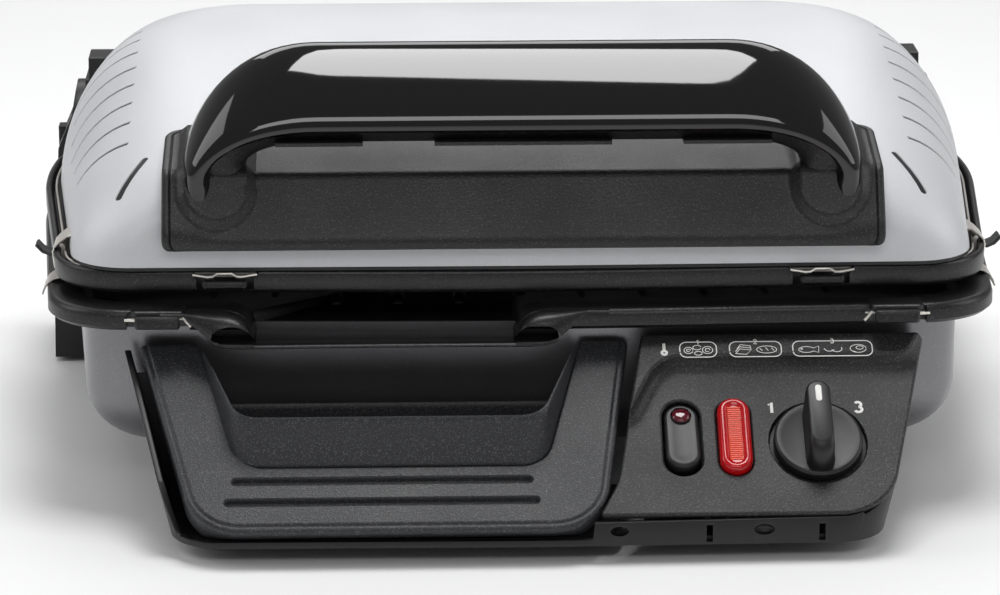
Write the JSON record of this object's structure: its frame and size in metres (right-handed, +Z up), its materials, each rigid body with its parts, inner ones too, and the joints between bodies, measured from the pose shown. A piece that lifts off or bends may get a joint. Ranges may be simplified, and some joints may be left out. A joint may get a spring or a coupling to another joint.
{
  "type": "electric indoor grill",
  "caption": "Countertop contact grill: hinged silver lid with arched handle, ribbed plates with pouring lip, drip tray drawer, sloping panel with knob, rocker and lamp, sliding lid hinge.",
  "frame": {"origin": "centre of the bounding box's footprint on the table, lid closed and tray in", "axes": "+X to the right seen from the front, +Y from the controls to the hinge, +Z up"},
  "size_m": [0.391, 0.326, 0.1804],
  "materials": {
    "lid_silver": "satin silver paint with fine metallic flake",
    "nonstick": "black non-stick coating, faintly speckled",
    "pan_grey": "satin dark grey enamel",
    "black_textured": "fine spark-eroded texture, soft sheen",
    "black_smooth": "smooth satin black",
    "black_gloss": "high-gloss piano black",
    "tray_grey": "fine moulded texture, soft sheen",
    "bright_steel": "plain bright steel",
    "spring_steel": "pressed spring steel",
    "sheath": "heat-darkened heater sheath",
    "rubber_feet": "matte rubber",
    "red_lens": "clear red moulding",
    "jewel": "dark red jewel",
    "ivory": "ivory insulating plastic"
  },
  "bodies": {
    "base": {"base_pan": "pan_grey", "console": "black_textured", "console_bottom": "black_textured", "control_panel": "black_textured", "rear_beam": "black_smooth", "hinge_post_left": "black_smooth", "hinge_post_right": "black_smooth", "front_feet": "rubber_feet", "rear_feet": "rubber_feet", "lower_plate": "nonstick", "lower_reflector": "bright_steel", "lower_heater": "sheath", "lower_heater_clips": "bright_steel", "thermostat": "bright_steel", "switch_body": "black_smooth", "pilot_lens": "red_lens", "lamp_holder": "ivory", "terminal_block": "ivory", "cord_gland": "black_smooth", "base_screws": "bright_steel", "lower_release_springs": "bright_steel"},
    "tray": {"drip_tray": "tray_grey"},
    "knob": {"knob_shaft": "bright_steel", "knob": "black_textured"},
    "rocker": {"rocker_button": "black_smooth", "rocker_jewel": "jewel"},
    "lower_release_left": {"lower_release_left": "black_textured"},
    "lower_release_right": {"lower_release_right": "black_textured"},
    "hinge_carriage": {"hinge_rod": "bright_steel", "hinge_sliders": "black_smooth"},
    "lid": {"lid_shell": "lid_silver", "upper_frame": "black_smooth", "upper_plate": "nonstick", "upper_reflector": "bright_steel", "upper_heater": "sheath", "upper_heater_clips": "bright_steel", "hinge_arm_left": "black_smooth", "hinge_arm_right": "black_smooth", "handle_base": "black_textured", "handle_cover": "black_gloss", "handle_insert": "black_smooth", "handle_screws": "bright_steel", "upper_release_springs": "bright_steel", "latch_pins": "bright_steel"},
    "upper_release_left": {"upper_release_left": "black_textured"},
    "upper_release_right": {"upper_release_right": "black_textured"},
    "latch_left": {"latch_left": "spring_steel"},
    "latch_right": {"latch_right": "spring_steel"}
  },
  "joints": [
    {"name": "tray_slide", "type": "slide", "parent": "base", "child": "tray", "axis": [0, -1, 0], "range_m": [0, 0.07]},
    {"name": "knob_turn", "type": "hinge", "parent": "base", "child": "knob", "pos_m": [0.1093, -0.13237, 0.03782], "axis": [0, -0.6018, 0.7986], "range_deg": [-48, 48]},
    {"name": "rocker_tilt", "type": "hinge", "parent": "base", "child": "rocker", "pos_m": [0.0582, -0.12608, 0.0338], "axis": [1, 0, 0], "range_deg": [0, 12]},
    {"name": "lower_release_left_press", "type": "slide", "parent": "base", "child": "lower_release_left", "axis": [0, 1, 0], "range_m": [0, 0.003], "stiffness_N_per_m": 250},
    {"name": "lower_release_right_press", "type": "slide", "parent": "base", "child": "lower_release_right", "axis": [0, 1, 0], "range_m": [0, 0.003], "stiffness_N_per_m": 250},
    {"name": "hinge_lift", "type": "slide", "parent": "base", "child": "hinge_carriage", "axis": [0, 0, 1], "range_m": [0, 0.016]},
    {"name": "lid_hinge", "type": "hinge", "parent": "hinge_carriage", "child": "lid", "pos_m": [0, 0.14, 0.091], "axis": [-1, 0, 0], "range_deg": [0, 180]},
    {"name": "upper_release_left_press", "type": "slide", "parent": "lid", "child": "upper_release_left", "axis": [0, 1, 0], "range_m": [0, 0.003], "stiffness_N_per_m": 250},
    {"name": "upper_release_right_press", "type": "slide", "parent": "lid", "child": "upper_release_right", "axis": [0, 1, 0], "range_m": [0, 0.003], "stiffness_N_per_m": 250},
    {"name": "latch_left_swing", "type": "hinge", "parent": "lid", "child": "latch_left", "pos_m": [-0.1784, -0.05, 0.0965], "axis": [0, 1, 0], "range_deg": [0, 95]},
    {"name": "latch_right_swing", "type": "hinge", "parent": "lid", "child": "latch_right", "pos_m": [0.1784, -0.05, 0.0965], "axis": [0, -1, 0], "range_deg": [0, 95]}
  ]
}
